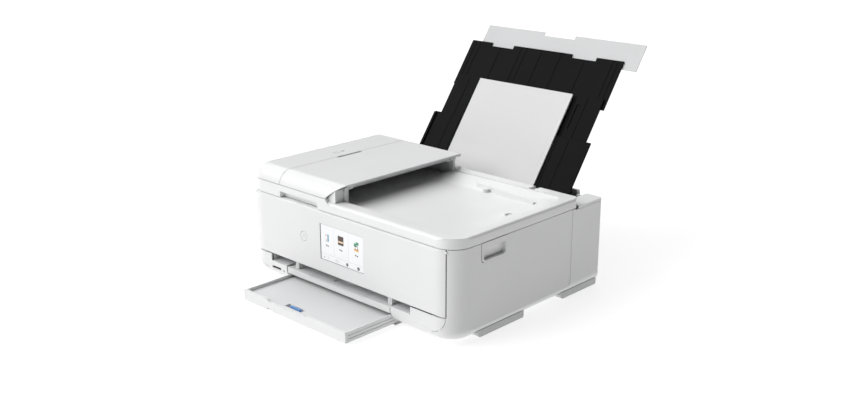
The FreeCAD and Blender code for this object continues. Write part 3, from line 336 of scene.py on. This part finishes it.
def screen_labels():
    """Two plain bars under each icon, in place of words."""
    labels = []
    for middle in ICON_MIDDLES:
        labels.append(rounded(middle - 3.4, middle - 0.4, 94.2, 95.9, 0.3))
        labels.append(rounded(middle + 0.2, middle + 3.2, 93.4, 95.2, 0.3))
    screen_piece("screen_label_bars", labels, 1, "screen_dark")


def screen_bottom_row():
    """The small grey and dark icons along the bottom of the page."""
    block = rounded(-44.2, -41.4, 73.0, 75.6, 0.5)
    bar = rounded(-34.4, -33.6, 72.6, 76.4, 0.3)
    ring = arc_band(-14.4, SMALL_ICON_HEIGHT, 1.5, 2.3, 0, 340)
    open_ring = arc_band(-9.0, SMALL_ICON_HEIGHT, 1.0, 1.6, 20, 300)
    screen_piece("screen_small_icons", [block, bar, ring, open_ring], 1, "screen_line")
    left_disc = arc_band(10.4, SMALL_ICON_HEIGHT, 0.7, 2.6, 0, 355)
    right_disc = arc_band(36.0, 74.2, 0.7, 2.8, 0, 355)
    screen_piece("screen_round_icons", [left_disc, right_disc], 1, "screen_dark")


screen_background()
screen_phone()
screen_printer()
screen_photo()
screen_labels()
screen_bottom_row()


# ---- the power button's ring and stroke ----
BUTTON_SIGN_THICKNESS = 0.04


def power_button_sign():
    low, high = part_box("power_button")
    x = (low.x + high.x) / 2 / MM
    z = (low.z + high.z) / 2 / MM
    face = low.y / MM
    ring = arc_band(x, z, 1.9, 2.3, -250, 70)
    stroke = rounded(x - 0.2, x + 0.2, z + 0.6, z + 2.9, 0.15)
    parts = [prism(points, 0.0, BUTTON_SIGN_THICKNESS, lambda u, v, h: (u, face - h, v))
             for points in (ring, stroke)]
    piece("power_button_sign", *merged(parts), GREY_MARK, "power_button")


power_button_sign()


# ---- painted shade: dark strips in the joint lines beside and below the operation panel ----
SHADOW_STRIP_GAP = 0.12
SIDE_SHADOW_STRIP_OUTER = 1.4
SIDE_SHADOW_STRIP_BACK = -175.0
SIDE_SHADOW_STRIP_HEIGHTS = (46.5, 143.0)
LOWER_SHADOW_STRIP_TOP = 1.28
LOWER_SHADOW_STRIP_OUTLINE = [(149.0, -182.3), (197.0, -182.3), (203.0, -181.8), (208.0, -180.6),
                      (213.0, -178.8), (212.0, -176.5), (149.0, -179.5)]


def panel_gap_painted_shade():
    panel_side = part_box("operation_panel")[1].x / MM
    cover_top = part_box("front_right_cover")[1].z / MM
    inner, outer = panel_side + SHADOW_STRIP_GAP, panel_side + SIDE_SHADOW_STRIP_OUTER
    outline = [(inner, -178.2), (inner, SIDE_SHADOW_STRIP_BACK), (outer, SIDE_SHADOW_STRIP_BACK), (outer, -177.6)]
    shadow_strips = []
    for side in (-1, 1):
        # the outline runs clockwise, so it is turned round on the side where it isn't mirrored
        turned = [(side * x, y) for x, y in outline][::-side]
        shadow_strips.append(prism(turned, *SIDE_SHADOW_STRIP_HEIGHTS, upright))
    shadow_strips.append(prism(LOWER_SHADOW_STRIP_OUTLINE, cover_top + SHADOW_STRIP_GAP, cover_top + LOWER_SHADOW_STRIP_TOP, upright))
    # painted shade: dark plastic strips fill the joint gaps so that they read as shaded
    piece("panel_gap_painted_shade", *merged(shadow_strips), MATERIALS["dark_plastic"], "chassis", "dark_plastic")


panel_gap_painted_shade()


# ---- pictograms on the feeder cover ----
PICTOGRAM_BOTTOM = -0.02
PICTOGRAM_TOP = 0.05


def feeder_pictograms():
    """A page and an arrow, as x, y outlines just above the feeder cover."""
    cover_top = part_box("feeder_cover")[1].z / MM
    page = frame_lines(-176, -168, -45, -35, 0.6)
    page_line = rounded(-174.5, -169.5, -41.5, -40.9, 0.1)
    arrow_head = [(-175, -27), (-168, -27), (-171.5, -20)]
    arrow_stem = rounded(-171.8, -171.2, -33, -27.4, 0.1)
    parts = [prism(points, PICTOGRAM_BOTTOM, PICTOGRAM_TOP, lambda u, v, h: (u, v, cover_top + h))
             for points in page + [page_line, arrow_head, arrow_stem]]
    piece("feeder_pictograms", *merged(parts), GREY_MARK, "feeder_cover")


feeder_pictograms()


# ---- loose sheets of A4 in the rear tray, in place of the plain stack ----
TRAY_TILT = math.radians(36)
UP_TRAY = Vector((0, math.sin(TRAY_TILT), math.cos(TRAY_TILT)))
THROUGH_STACK = Vector((0, math.cos(TRAY_TILT), -math.sin(TRAY_TILT)))
TRAY_ORIGIN = Vector((0, 157.0, 150.0))
SHEETS = 22
STACK_THICKNESS = 2.6
SHEET_SHARE = 0.8       # how much of its place in the stack a sheet fills; the rest is air
HALF_WIDTH = 105
SHEET_FOOT = -124
SHEET_HEAD = 173
SIDE_PLAY = 0.35
HEAD_PLAY = 0.5


def on_tray(u, s, h):
    return tuple(TRAY_ORIGIN + UP_TRAY * s + THROUGH_STACK * h + Vector((u, 0, 0)))


def paper_sheets():
    stack = []
    for sheet in range(SHEETS):
        low = sheet * STACK_THICKNESS / SHEETS
        high = low + SHEET_SHARE * STACK_THICKNESS / SHEETS
        side = random.uniform(0, SIDE_PLAY)
        fall = random.uniform(0, HEAD_PLAY)
        left, right = -HALF_WIDTH + side, HALF_WIDTH - SIDE_PLAY + side
        head = SHEET_HEAD - fall
        edge = [(left, SHEET_FOOT), (right, SHEET_FOOT), (right, head), (left, head)]
        stack.append(prism(edge, low, high, on_tray))
    paper = piece("paper_sheets", *merged(stack), MATERIALS["paper"], "paper", "paper")
    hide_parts("paper_stack")


paper_sheets()


# ---- floor ----
FLOOR_REACH = 60.0      # metres, far enough to fill the picture
FLOOR_GREY = (0.35, 0.35, 0.35)
FLOOR_GLOW = 0.75       # lifts the floor to white and leaves the shadows on it


def studio_floor():
    reach = FLOOR_REACH
    mesh = bpy.data.meshes.new("floor")
    mesh.from_pydata([(-reach, -reach, 0), (reach, -reach, 0), (reach, reach, 0), (-reach, reach, 0)],
                     [], [(0, 1, 2, 3)])
    white = surface("floor_white", FLOOR_GREY, 0.9, grain=40, depth=0.02, edge=0.0, specular=0.1)
    shader = next(n for n in white.node_tree.nodes if n.type == "BSDF_PRINCIPLED")
    shader.inputs["Emission Color"].default_value = (1, 1, 1, 1)
    shader.inputs["Emission Strength"].default_value = FLOOR_GLOW
    mesh.materials.append(white)
    floor = bpy.data.objects.new("floor", mesh)
    bpy.context.scene.collection.objects.link(floor)


studio_floor()


# ---- light ----
def studio_world():
    """White light from all round, stronger from the printer's left (-X) than from its right."""
    world = bpy.data.worlds.new("studio")
    world.use_nodes = True
    sky = world.node_tree
    direction = sky.nodes.new("ShaderNodeTexCoord").outputs["Generated"]
    axes = sky.nodes.new("ShaderNodeSeparateXYZ")
    sky.links.new(direction, axes.inputs["Vector"])
    falloff = sky.nodes.new("ShaderNodeMapRange")
    falloff.inputs["From Min"].default_value = -0.8
    falloff.inputs["From Max"].default_value = 0.5
    falloff.inputs["To Min"].default_value = 0.42
    falloff.inputs["To Max"].default_value = 0.10
    sky.links.new(axes.outputs["X"], falloff.inputs["Value"])
    sky.links.new(falloff.outputs["Result"], sky.nodes["Background"].inputs["Strength"])
    bpy.context.scene.world = world


def sun(name, towards, strength, softness):
    data = bpy.data.lights.new(name, "SUN")
    data.energy = strength
    data.angle = softness
    light = bpy.data.objects.new(name, data)
    light.rotation_euler = Vector(towards).to_track_quat("Z", "Y").to_euler()
    bpy.context.scene.collection.objects.link(light)


studio_world()
sun("key_light", towards=(-0.46, -0.70, 0.54), strength=1.9, softness=0.8)
sun("top_light", towards=(-0.50, 0.08, 1.0), strength=2.5, softness=1.6)


# ---- camera, as fitted to the photograph's parallel edges ----
CAMERA_LENS = 44.34
CAMERA_SENSOR = 36.0
CAMERA_PLACE = (1.16130, -1.20387, 0.66413)     # metres
CAMERA_DOWN = 17.8004   # degrees below level
CAMERA_TURN = 43.6445   # degrees about Z


def photo_camera():
    data = bpy.data.cameras.new("camera")
    data.lens = CAMERA_LENS
    data.sensor_width = CAMERA_SENSOR
    camera = bpy.data.objects.new("camera", data)
    camera.location = CAMERA_PLACE
    camera.rotation_euler = (math.radians(90 - CAMERA_DOWN), 0, math.radians(CAMERA_TURN))
    bpy.context.scene.collection.objects.link(camera)
    bpy.context.scene.camera = camera
    bpy.context.scene.view_settings.view_transform = "Standard"


photo_camera()
